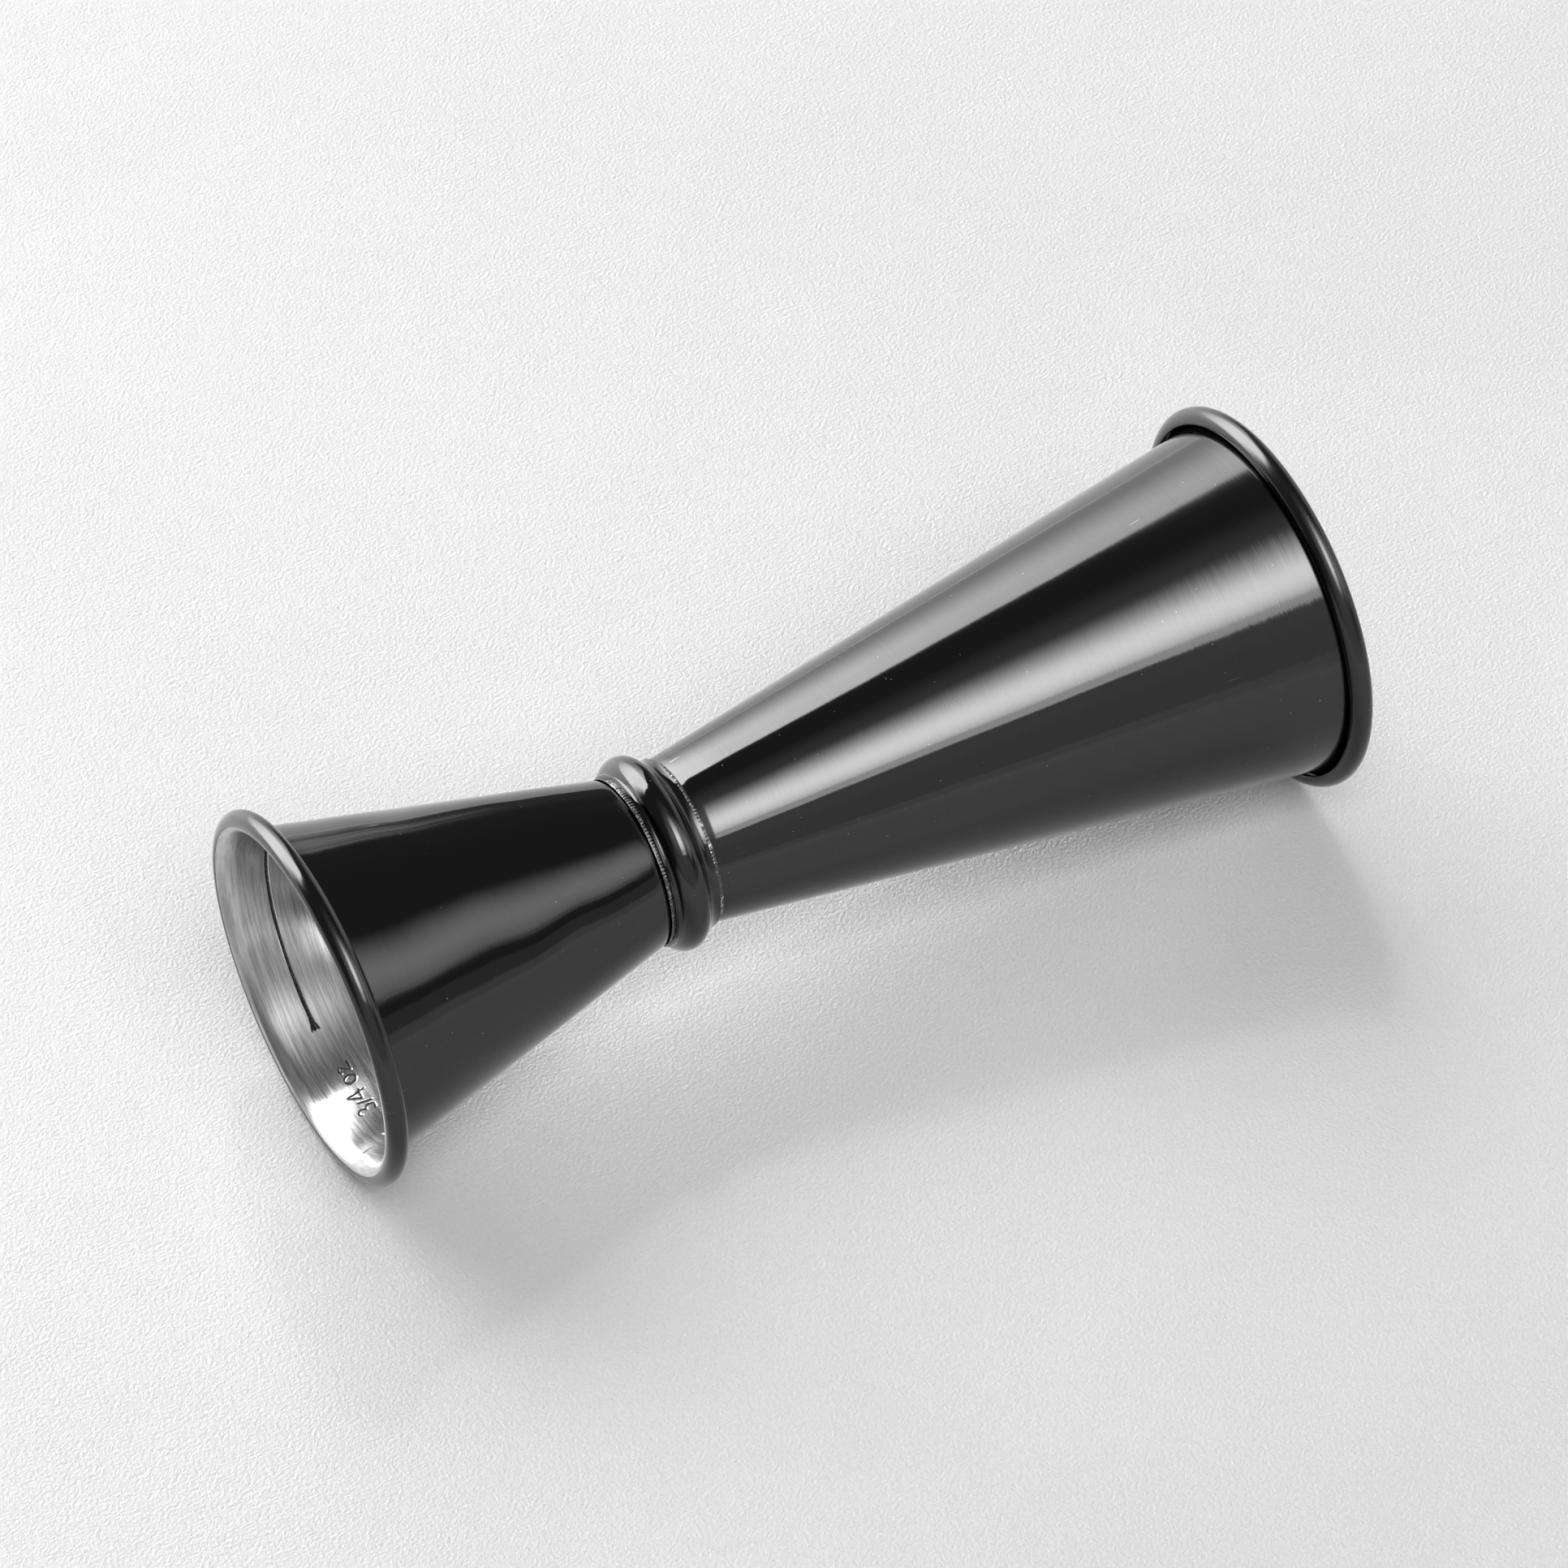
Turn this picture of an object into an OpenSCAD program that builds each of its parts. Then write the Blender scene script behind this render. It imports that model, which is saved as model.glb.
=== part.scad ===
// Double-ended bar jigger in sheet steel: two tapered cups with rolled rims, joined foot to foot
// under a hollow beaded ring that is welded on at both lips. It lies on its side on both rims.
// All lengths are in millimetres and all angles in degrees.

/* [Large cup] */
// Distance from the waist to the centre of the large cup's rolled rim
large_depth = 79.1; // [60:0.1:100]
// Inside diameter of the large cup's mouth
large_mouth_d = 41.36; // [32:0.02:52]
// Thickness of the large cup's rolled rim
large_curl_d = 2.64; // [2:0.02:3.6]
// Angle through which the large cup's wall flares before it is rolled
large_flare = 9; // [3:1:30]
// Distance from the large rim's plane down to its measure line
large_mark_drop = 9.4; // [4:0.1:30]

/* [Small cup] */
// Distance from the waist to the centre of the small cup's rolled rim
small_depth = 42.7; // [30:0.1:60]
// Inside diameter of the small cup's mouth
small_mouth_d = 39.4; // [32:0.02:48]
// Thickness of the small cup's rolled rim
small_curl_d = 2.5; // [2:0.02:3.6]
// Angle through which the small cup's wall flares before it is rolled
small_flare = 24; // [3:1:30]
// Distance from the small rim's plane down to its measure line
small_mark_drop = 4; // [3:0.1:15]

/* [Cup sheet] */
// Thickness of the sheet that both cups are drawn from
wall = 0.5; // [0.3:0.05:0.8]
// Outside diameter of each cup where the two meet
foot_d = 18.55; // [14:0.05:26]
// Inside radius between a cup's floor and its wall
floor_corner_r = 5; // [2:0.1:6]
// Radius of the flare that leads the wall into the rolled rim
flare_r = 4; // [3:0.1:8]
// Angle through which the rim is rolled back on itself
curl_turn = 262; // [200:1:285]

/* [Measure lines] */
// Width of each spun measure line
mark_w = 0.4; // [0.2:0.05:0.8]
// Depth of each spun measure line
mark_deep = 0.12; // [0.05:0.01:0.2]
// Angle left plain for the figures
mark_gap = 55; // [20:1:120]
// Turn of the small cup's figures about the axis, from the underside
small_mark_turn = 3; // [-180:1:180]
// Turn of the large cup's figures about the axis, from the underside
large_mark_turn = 3; // [-180:1:180]

/* [Waist ring] */
// Height of the ring's bead above the cups' foot
ring_stand = 2.32; // [1.8:0.01:4]
// Radius of the ring's bead
ring_bead_r = 1.9; // [1.4:0.05:3]
// Thickness of the band that the ring is formed from
ring_wall = 0.35; // [0.2:0.05:0.8]
// Radius of the hollow between the bead and the lip on the large cup
large_fillet_r = 1.4; // [0.3:0.05:2]
// Radius of the hollow between the bead and the lip on the small cup
small_fillet_r = 0.35; // [0.3:0.05:2]
// Length of the flat part of the lip on the large cup
large_lip = 0.15; // [0.1:0.05:3]
// Length of the flat part of the lip on the small cup
small_lip = 0.25; // [0.1:0.05:3]

/* [Welds] */
// Width of the weld along each lip
weld_w = 0.45; // [0.2:0.05:1]
// Height of the weld along each lip
weld_h = 0.18; // [0.1:0.02:0.3]

/* [Hidden] */
$fn = 120;
// Overlap of one bend of the sheet into the next, so that they make one solid
bend_lap = 0.5;
foot_r = foot_d / 2;

// A point at distance r and angle a from point c
function polar(c, r, a) = c + r * [cos(a), sin(a)];

// The fields of a cup: depth, rim centre radius, rim tube radius, flare angle
DEPTH = 0;
RIM_R = 1;
TUBE_R = 2;
FLARE = 3;
function cup_of(depth, mouth_d, curl_d, flare) = [depth, (mouth_d + curl_d) / 2, curl_d / 2, flare];
large = cup_of(large_depth, large_mouth_d, large_curl_d, large_flare);
small = cup_of(small_depth, small_mouth_d, small_curl_d, small_flare);

// Lean of a cup's wall from its axis: the wall runs from the foot to touch the flare's circle
function flare_shift(cup) = (flare_r - cup[TUBE_R]) * (1 - cos(cup[FLARE]));
function lean_of(cup) =
    let (out = cup[RIM_R] - foot_r, up = cup[DEPTH])
    acos((cup[TUBE_R] + flare_shift(cup) - wall) / norm([out, up])) - atan2(up, out);
large_lean = lean_of(large);
small_lean = lean_of(small);

// Rest attitude: both rims touch the table, and the origin is under the middle of the length
rim_gap = [large[DEPTH] + small[DEPTH], large[RIM_R] - small[RIM_R]];
tilt = atan2(rim_gap[1], rim_gap[0]) + asin((large[TUBE_R] - small[TUBE_R]) / norm(rim_gap));
waist_z = large[RIM_R] * cos(tilt) + large[TUBE_R] - large[DEPTH] * sin(tilt);
function reach(cup) = cup[DEPTH] * cos(tilt) + cup[RIM_R] * sin(tilt) + cup[TUBE_R];
waist_x = (reach(small) - reach(large)) / 2;

// Carries a piece from the jigger's own axis, large cup up, to where it lies
module lay_down() {
    translate([waist_x, 0, waist_z]) rotate([0, 90 - tilt, 0]) children();
}

// Filled outline of a tapered cup body with a round corner at its floor.
// line_r is the slanted side's radius at the waist; top closes the outline above.
module body_outline(line_r, floor_y, lean, corner_r, top) {
    corner = [line_r + (floor_y + corner_r) * tan(lean) - corner_r / cos(lean), floor_y + corner_r];
    polygon(concat(
        [[0, floor_y], [corner.x, floor_y], corner, polar(corner, corner_r, -lean)],
        top));
    intersection() {
        translate(corner) circle(corner_r);
        square(2 * line_r);
    }
}

// Pie from the point c between two directions
module pie(c, r, from, to) {
    steps = 6;
    polygon(concat([c], [for (i = [0 : steps]) polar(c, r, from + (to - from) * i / steps)]));
}

// Strip of sheet bent on a circle, its outer face at radius r
module bent_strip(c, r) {
    translate(c) difference() {
        circle(r);
        circle(r - wall);
    }
}

// Section of one cup: floor, wall, flare and open rolled rim
module cup_section(cup) {
    lean = lean_of(cup);
    rim = [cup[RIM_R], cup[DEPTH]];
    into_cup = 180 - lean;
    into_curl = into_cup - cup[FLARE];
    flare_c = polar(rim, cup[TUBE_R] - flare_r, into_curl);
    wall_top = polar(flare_c, flare_r, into_cup);
    wall_top_out = polar(flare_c, flare_r - wall, into_cup);
    inner_r = foot_r - wall / cos(lean);
    above = cup[DEPTH] + cup[TUBE_R];
    difference() {
        body_outline(foot_r, 0, lean, floor_corner_r + wall, [wall_top_out, wall_top, [0, wall_top.y]]);
        body_outline(inner_r, wall, lean, floor_corner_r, [[inner_r + above * tan(lean), above], [0, above]]);
    }
    intersection() {
        bent_strip(flare_c, flare_r);
        pie(flare_c, 2 * flare_r, into_curl - bend_lap, into_cup + bend_lap);
    }
    difference() {
        bent_strip(rim, cup[TUBE_R]);
        pie(rim, 2 * cup[TUBE_R], into_curl, into_curl + 360 - curl_turn);
    }
}

// Groove of a measure line, cut into the inside of the wall, open where the figures stand
module mark_groove(cup, drop, turn) {
    lean = lean_of(cup);
    up = cup[DEPTH] - drop;
    inside_r = foot_r - wall / cos(lean) + up * tan(lean);
    cut_r = (mark_w * mark_w / 4 + mark_deep * mark_deep) / (2 * mark_deep);
    rotate([0, 0, turn + mark_gap / 2])
        rotate_extrude(angle = 360 - mark_gap)
            translate(polar([inside_r, up], cut_r - mark_deep, 180 - lean)) circle(cut_r, $fn = 32);
}

module cup_shell(cup, drop, turn) {
    difference() {
        rotate_extrude() cup_section(cup);
        mark_groove(cup, drop, turn);
    }
}

// Centre of the ring's bead
bead_c = [foot_r + ring_stand - ring_bead_r, 0];
// Depth by which neighbouring arcs of the ring's section cut into each other
arc_bite = 0.0005;
// A length past the whole ring section, for cutting shapes
clear = foot_d;

// A point on a cup's wall, at a distance along it from the bead's foot and a height off it
function seat_point(lean, along, high) =
    let (foot_along = (bead_c.x - foot_r) * sin(lean))
    [foot_r, 0] + (along + foot_along) * [sin(lean), cos(lean)] + high * [cos(lean), -sin(lean)];

// Distance along the wall from the bead's foot to where the hollow meets the lip
function hollow_run(lean, fillet_r) =
    let (rise = ring_wall + fillet_r - (bead_c.x - foot_r) * cos(lean))
    sqrt(pow(ring_bead_r + fillet_r, 2) - pow(rise, 2));

// Filled side of the ring from bead to wall, less the hollow's circle
module ring_side(lean, fillet_r, circle_r, depth) {
    run = hollow_run(lean, fillet_r);
    hollow_c = seat_point(lean, run, ring_wall + fillet_r - arc_bite);
    difference() {
        polygon([bead_c, hollow_c, seat_point(lean, run, -depth), seat_point(lean, -depth, -depth)]);
        translate(hollow_c) circle(circle_r);
    }
}

// One side of the ring: the bead's foot, the hollow and the lip, before the inside is taken out
module ring_flank(lean, fillet_r, lip) {
    run = hollow_run(lean, fillet_r);
    difference() {
        union() {
            ring_side(lean, fillet_r, fillet_r, ring_wall);
            polygon([
                seat_point(lean, -ring_wall, -ring_wall), seat_point(lean, -ring_wall, ring_wall),
                seat_point(lean, run + lip, ring_wall), seat_point(lean, run + lip, -ring_wall)
            ]);
        }
        translate(seat_point(lean, run, ring_wall + fillet_r - arc_bite)) circle(fillet_r);
    }
}

// The solid of a cup, waist to far above the ring, that a lip seats on
module cup_body(lean) {
    polygon([[0, 0], [foot_r, 0], [foot_r + clear * tan(lean), clear], [0, clear]]);
}

module ring_section() {
    difference() {
        union() {
            translate(bead_c) circle(ring_bead_r);
            ring_flank(large_lean, large_fillet_r, large_lip);
            mirror([0, 1]) ring_flank(small_lean, small_fillet_r, small_lip);
        }
        translate(bead_c) circle(ring_bead_r - ring_wall);
        ring_side(large_lean, large_fillet_r, large_fillet_r + ring_wall, 2 * ring_wall);
        mirror([0, 1]) ring_side(small_lean, small_fillet_r, small_fillet_r + ring_wall, 2 * ring_wall);
        cup_body(large_lean);
        mirror([0, 1]) cup_body(small_lean);
    }
}

// Section of the weld bead in the corner between a lip's end and the wall
module weld_section(lean, fillet_r, lip) {
    start = hollow_run(lean, fillet_r) + lip;
    crown_r = (weld_w * weld_w + weld_h * weld_h) / (2 * weld_h);
    intersection() {
        translate(seat_point(lean, start, weld_h - crown_r)) circle(crown_r);
        polygon([
            seat_point(lean, start, 0), seat_point(lean, start, 2 * weld_h),
            seat_point(lean, start + 2 * weld_w, 2 * weld_h), seat_point(lean, start + 2 * weld_w, 0)
        ]);
    }
}

module large_cup() {
    color([0.16, 0.16, 0.17]) lay_down() cup_shell(large, large_mark_drop, large_mark_turn);
}

module small_cup() {
    color([0.18, 0.18, 0.19]) lay_down() mirror([0, 0, 1]) cup_shell(small, small_mark_drop, small_mark_turn);
}

module waist_ring() {
    color([0.22, 0.22, 0.23]) lay_down() rotate_extrude() ring_section();
}

module large_side_weld() {
    color([0.45, 0.45, 0.46]) lay_down() rotate_extrude() weld_section(large_lean, large_fillet_r, large_lip);
}

module small_side_weld() {
    color([0.45, 0.45, 0.46]) lay_down() mirror([0, 0, 1]) rotate_extrude()
        weld_section(small_lean, small_fillet_r, small_lip);
}

large_cup();
small_cup();
waist_ring();
large_side_weld();
small_side_weld();
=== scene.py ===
"""Finish of a lying bar jigger: coated cups with bare insides, waist ring, welds, table and lamps.

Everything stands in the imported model's own frame. Lengths are in metres and angles in radians, unless
a line says otherwise. A section is a list of (radius, height) points, with its height measured along
the jigger's axis from the waist.
"""

from math import acos, asin, atan2, cos, hypot, pi, radians, sin, sqrt, tan

import bmesh
import bpy
import numpy as np
from mathutils import Matrix, Quaternion, Vector

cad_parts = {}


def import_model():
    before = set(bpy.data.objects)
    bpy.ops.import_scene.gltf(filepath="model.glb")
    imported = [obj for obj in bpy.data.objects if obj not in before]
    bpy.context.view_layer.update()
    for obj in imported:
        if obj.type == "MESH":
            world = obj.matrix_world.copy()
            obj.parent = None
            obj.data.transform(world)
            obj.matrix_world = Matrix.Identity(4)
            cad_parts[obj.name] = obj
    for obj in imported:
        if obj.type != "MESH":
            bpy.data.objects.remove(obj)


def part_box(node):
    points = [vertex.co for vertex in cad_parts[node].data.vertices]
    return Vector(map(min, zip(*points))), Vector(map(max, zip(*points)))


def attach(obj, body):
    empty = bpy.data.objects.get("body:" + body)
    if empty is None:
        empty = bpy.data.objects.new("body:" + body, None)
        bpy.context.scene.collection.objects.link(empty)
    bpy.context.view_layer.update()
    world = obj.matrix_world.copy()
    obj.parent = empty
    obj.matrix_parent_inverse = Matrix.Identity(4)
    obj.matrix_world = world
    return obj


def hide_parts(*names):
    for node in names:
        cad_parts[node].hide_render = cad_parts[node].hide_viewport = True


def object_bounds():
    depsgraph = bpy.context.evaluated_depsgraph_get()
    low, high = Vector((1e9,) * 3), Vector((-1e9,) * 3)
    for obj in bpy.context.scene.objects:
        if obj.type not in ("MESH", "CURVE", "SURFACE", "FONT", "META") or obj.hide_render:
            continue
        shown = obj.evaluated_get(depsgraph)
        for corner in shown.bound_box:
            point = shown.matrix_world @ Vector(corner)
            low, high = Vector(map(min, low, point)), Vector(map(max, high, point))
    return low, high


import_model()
CAD_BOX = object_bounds()
CAD_CENTRE = (CAD_BOX[0] + CAD_BOX[1]) / 2

bl_info = {
    "name": "Bar jigger",
    "version": (1, 0, 0),
    "blender": (4, 5, 0),
    "location": "3D View > Sidebar > Jigger",
    "description": "Builds the finished look of a double-ended bar jigger round its packed model",
    "category": "Object",
}

MM = 0.001

# Steps of the stretches of a cup's section, from the inside floor round the rim to the outside floor
FLOOR_STEPS = 4
CORNER_STEPS = 12
DEEP_WALL_STEPS = 12
MARK_PITCH = 0.07 * MM
TOP_WALL_STEPS = 3
INNER_FLARE_STEPS = 8
BARE_RIM_STEPS = 12
COATED_RIM_STEPS = 44
SHEET_EDGE_STEPS = 6
HIDDEN_RIM_STEPS = 40
OUTER_FLARE_STEPS = 6
OUTER_WALL_STEPS = 16

# Steps of the stretches of the waist ring's section and of a weld's
LIP_STEPS = 3
HOLLOW_STEPS = 14
BEAD_STEPS = 40
WELD_STEPS = 8

# Steps round the axis, and the smallest bend that shows as an edge
COARSE_STEP = radians(1)
FINE_STEP = radians(0.25)
SHARP_BEND = radians(40)

# How far the fine mesh of the marks reaches: below the line, above it and past the figures' sides
MARK_REACH_DOWN = 1.75 * MM
MARK_REACH_UP = 1.05 * MM
MARK_MARGIN = radians(3)

# The figures' base line below the measure line, the line's forked ends, and the share of a figure's
# depth from which its groove gets painted shade
FIGURE_DROP = 1.4 * MM
FISHTAIL_LENGTH = 1.7 * MM
FISHTAIL_SPREAD = 0.42 * MM
GROOVE_SHADE_FROM = 0.45

# Spots of weld metal round the waist. Between them the weld sinks by a share of its height; a full spot
# holds up a share of that, and the least spot is a share of a full one
WELD_SPOTS = 150
WELD_SEED = 7
WELD_SINK = 0.8
SPOT_HOLD = 0.8
LEAST_SPOT = 0.35

# Half the table's side, and the brightness of what the camera sees past it
TABLE_HALF = 4.0
BACKDROP_LEVEL = 0.92

# Brightness of what the metal shows of the room. A layer of the window, the bounce board and its ledge
# are shares of the level of the reflected lamps; for the others 1 is white
WINDOW_SHARE = 0.5
BOUNCE_SHARE = 2.4
LEDGE_SHARE = 0.3
OVAL_LEVEL = 2.1
FIELD_LEVEL = 0.18
OVERHEAD_LEVEL = 0.45
FRONT_LEVEL = 0.42
PAST_MOUTH_LEVEL = 0.9
DIM_LEVEL = 0.15


# ---------------------------------------------------------------- settings


def length(name, description, default, low, high):
    """A length property in metres."""
    return bpy.props.FloatProperty(
        name=name, description=description, default=default, min=low, max=high,
        precision=5, subtype="DISTANCE", unit="LENGTH",
    )


def angle(name, description, degrees, low, high):
    """An angle property, given in degrees and kept in radians."""
    return bpy.props.FloatProperty(
        name=name, description=description, default=radians(degrees),
        min=radians(low), max=radians(high), subtype="ANGLE", unit="ROTATION",
    )


def share(name, description, default):
    """A number from 0 to 1."""
    return bpy.props.FloatProperty(
        name=name, description=description, default=default, min=0, max=1, subtype="FACTOR",
    )


def level(name, description, default):
    """A brightness, where 1 shows as white."""
    return bpy.props.FloatProperty(
        name=name, description=description, default=default, min=0, max=50,
    )


def colour(name, description, grey):
    """A colour property that starts as a neutral grey."""
    return bpy.props.FloatVectorProperty(
        name=name, description=description, default=(grey, grey, grey), size=3,
        min=0, max=1, subtype="COLOR",
    )


class CupSizes(bpy.types.PropertyGroup):
    """Sizes of one cup."""

    depth: length("Depth", "From the waist to the centre of the rolled rim", 79.1 * MM, 0.02, 0.12)
    mouth: length("Mouth", "Inside diameter of the mouth", 41.36 * MM, 0.02, 0.08)
    curl: length("Rim", "Thickness of the rolled rim", 2.64 * MM, 0.001, 0.006)
    flare: angle("Flare", "Turn of the wall before it is rolled", 9, 1, 60)
    mark_drop: length("Mark drop", "From the rim down to the measure line", 9.4 * MM, 0.001, 0.04)


class JiggerSizes(bpy.types.PropertyGroup):
    """Sizes of the whole jigger."""

    large: bpy.props.PointerProperty(type=CupSizes, name="Large", description="Sizes of the large cup")
    small: bpy.props.PointerProperty(type=CupSizes, name="Small", description="Sizes of the small cup")
    wall: length("Sheet", "Thickness of the cups' sheet", 0.5 * MM, 0.0002, 0.002)
    foot: length("Foot", "Outside diameter of each cup at the waist", 18.55 * MM, 0.01, 0.04)
    corner: length("Floor corner", "Inside radius between floor and wall", 5 * MM, 0.001, 0.008)
    flare_radius: length("Flare radius", "Radius that leads the wall into the rim", 4 * MM, 0.002, 0.01)
    curl_turn: angle("Roll", "Angle through which the rim is rolled", 262, 180, 300)
    ring_stand: length("Ring height", "Height of the bead above the cups' foot", 2.32 * MM, 0.001, 0.006)
    ring_bead: length("Bead radius", "Radius of the waist ring's bead", 1.9 * MM, 0.001, 0.004)
    ring_wall: length("Ring sheet", "Thickness of the waist ring's band", 0.35 * MM, 0.0002, 0.001)
    large_hollow: length("Large hollow", "Radius from bead to lip, large side", 1.4 * MM, 0.0002, 0.003)
    small_hollow: length("Small hollow", "Radius from bead to lip, small side", 0.35 * MM, 0.0002, 0.003)
    large_lip: length("Large lip", "Flat length of the lip, large side", 0.15 * MM, 0.0001, 0.003)
    small_lip: length("Small lip", "Flat length of the lip, small side", 0.25 * MM, 0.0001, 0.003)
    weld_width: length("Weld width", "Width of each weld", 0.45 * MM, 0.0001, 0.002)
    weld_height: length("Weld height", "Height of each weld", 0.18 * MM, 0.0001, 0.001)
    mark_width: length("Mark width", "Width of the measure line", 0.4 * MM, 0.0001, 0.001)
    mark_depth: length("Mark depth", "Depth of the measure line", 0.12 * MM, 0.00002, 0.0003)
    mark_gap: angle("Mark gap", "Part of the measure line left out for its figures", 55, 10, 120)
    mark_turn: angle("Mark turn", "Where the figures stand, from the underside", 3, -180, 180)
    figure_width: length("Figure stroke", "Width of a figure's strokes", 0.22 * MM, 0.0001, 0.0005)
    figure_depth: length("Figure depth", "Depth of a figure's strokes", 0.1 * MM, 0.00002, 0.0003)
    coat_edge: angle("Coat edge", "Where the coat ends on the rim, from its outer side", 106, 0, 180)


class JiggerFinish(bpy.types.PropertyGroup):
    """Colours and surface of the metal."""

    coat_colour: colour("Coat", "Colour of the dark coat", 0.056)
    coat_roughness: share("Coat roughness", "Roughness of the polished coat", 0.07)
    steel_colour: colour("Steel", "Colour of the bare inside", 0.48)
    steel_roughness: share("Steel roughness", "Roughness of the brushed inside", 0.2)
    weld_colour: colour("Weld", "Colour of the weld where it is rubbed bare", 0.4)
    weld_roughness: share("Weld roughness", "Roughness of the weld", 0.35)


class JiggerStage(bpy.types.PropertyGroup):
    """Camera, table and lamps."""

    azimuth: angle("Azimuth", "Side of the camera, counted from -Y towards +X", -27.308, -360, 360)
    elevation: angle("Elevation", "Height of the camera above the horizon", 44.825, -90, 90)
    roll: angle("Roll", "Turn of the camera about its own axis", -2.5, -45, 45)
    distance: length("Distance", "From the camera to the aim point", 0.79676, 0.1, 10)
    lens: bpy.props.FloatProperty(
        name="Lens", description="Focal length in millimetres", default=163.31, min=10, max=500,
    )
    aim: bpy.props.FloatVectorProperty(
        name="Aim", description="Aim point, from the middle of the jigger's box",
        default=(-0.89 * MM, 1.0 * MM, 0.46 * MM), size=3, subtype="TRANSLATION", unit="LENGTH",
    )
    table_colour: colour("Table", "Colour of the table top", 0.84)
    window_level: level("Window", "Light that the window lamp gives a level table", 0.2)
    sill_level: level("Sill", "Light that the low strip under the window gives a level table", 0.12)
    bounce_level: level("Bounce", "Light that the bounce lamp gives a level table", 0.44)
    spot_level: level("Spot", "Light that the small lamp gives a level table", 0.06)
    room_level: level("Room", "Light that the room gives from all round", 0.165)
    reflected_level: level("Reflected lamps", "Brightness of the lamps as the metal shows them", 11.0)


class JiggerSettings(bpy.types.PropertyGroup):
    """All settings of the jigger."""

    sizes: bpy.props.PointerProperty(type=JiggerSizes, name="Sizes", description="Sizes of the pieces")
    finish: bpy.props.PointerProperty(type=JiggerFinish, name="Finish", description="Surfaces")
    stage: bpy.props.PointerProperty(type=JiggerStage, name="Stage", description="Table, lamps, camera")


# What the small cup has instead of the defaults, which are the large cup's
SMALL_CUP = {
    "depth": 42.7 * MM,
    "mouth": 39.4 * MM,
    "curl": 2.5 * MM,
    "flare": radians(24),
    "mark_drop": 4 * MM,
}


def settings():
    """All settings of the scene's jigger."""
    return bpy.context.scene.jigger


# ---------------------------------------------------------------- shader helpers


class Value:
    """A shader socket that works in sums: every operator adds one Math node."""

    def __init__(self, graph, socket):
        self.graph = graph
        self.socket = socket

    def maths(self, operation, first, second):
        return self.graph.value("ShaderNodeMath", {"operation": operation}, {0: first, 1: second})

    def __add__(self, other):
        return self.maths("ADD", self, other)

    def __radd__(self, other):
        return self.maths("ADD", other, self)

    def __sub__(self, other):
        return self.maths("SUBTRACT", self, other)

    def __rsub__(self, other):
        return self.maths("SUBTRACT", other, self)

    def __mul__(self, other):
        return self.maths("MULTIPLY", self, other)

    def __rmul__(self, other):
        return self.maths("MULTIPLY", other, self)

    def __truediv__(self, other):
        return self.maths("DIVIDE", self, other)

    def __rtruediv__(self, other):
        return self.maths("DIVIDE", other, self)

    def __pow__(self, other):
        return self.maths("POWER", self, other)

    def __abs__(self):
        return self.maths("ABSOLUTE", self, 0.0)


class Graph:
    """Adds nodes to one node tree."""

    def __init__(self, tree):
        self.nodes = tree.nodes
        self.links = tree.links
        self.nodes.clear()

    def node(self, kind, setup=None, inputs=None):
        """Adds a node of a type, makes its settings, then sets or links its sockets."""
        made = self.nodes.new(kind)
        for name, setting in (setup or {}).items():
            setattr(made, name, setting)
        for name, given in (inputs or {}).items():
            socket = made.inputs[name]
            if isinstance(given, Value):
                self.links.new(given.socket, socket)
            else:
                socket.default_value = given
        return made

    def value(self, kind, setup=None, inputs=None, output=0):
        """The same, and gives one of the node's outputs."""
        return Value(self, self.node(kind, setup, inputs).outputs[output])

    def join(self, x, y, z):
        """A vector of three numbers."""
        return self.value("ShaderNodeCombineXYZ", None, {0: x, 1: y, 2: z})

    def dot(self, vector, fixed):
        """How far a vector reaches along a fixed one."""
        inputs = {0: vector, 1: fixed}
        return self.value("ShaderNodeVectorMath", {"operation": "DOT_PRODUCT"}, inputs, "Value")

    def ramp(self, given, start, end, low=0.0, high=1.0):
        """Smooth step from low at start to high at end."""
        return self.value(
            "ShaderNodeMapRange", {"interpolation_type": "SMOOTHSTEP"},
            {"Value": given, "From Min": start, "From Max": end, "To Min": low, "To Max": high},
        )

    def noise(self, vector, scale, detail=2.0, roughness=0.5, distortion=0.0):
        """Noise from 0 to 1."""
        look = {"Scale": scale, "Detail": detail, "Roughness": roughness, "Distortion": distortion}
        return self.value("ShaderNodeTexNoise", None, {"Vector": vector, **look})

    def tint(self, factor, dark, light):
        """A colour between two colours."""
        return self.blend(factor, (*dark, 1), (*light, 1))

    def blend(self, factor, first, second):
        """A colour socket that turns into another colour."""
        inputs = {"Factor": factor, 6: first, 7: second}
        return self.value("ShaderNodeMix", {"data_type": "RGBA"}, inputs, 2)

    def bump(self, relief, normal=None):
        """The surface's normal, or the one given, bent by a relief in millimetres."""
        inputs = {"Height": relief, "Distance": MM, "Strength": 1.0}
        if normal is not None:
            inputs["Normal"] = normal
        return self.value("ShaderNodeBump", None, inputs)

    def surface(self, inputs):
        """Ends the tree with a Principled shader."""
        shader = self.value("ShaderNodeBsdfPrincipled", None, inputs, "BSDF")
        self.node("ShaderNodeOutputMaterial", None, {"Surface": shader})


def new_material(name):
    """A material with an empty node tree, and the tree's Graph."""
    material = bpy.data.materials.new(name)
    material.use_nodes = True
    return material, Graph(material.node_tree)


def shade(colour, times):
    """A colour made so many times as bright."""
    return tuple(min(1, part * times) for part in colour)


# ---------------------------------------------------------------- shapes


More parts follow.
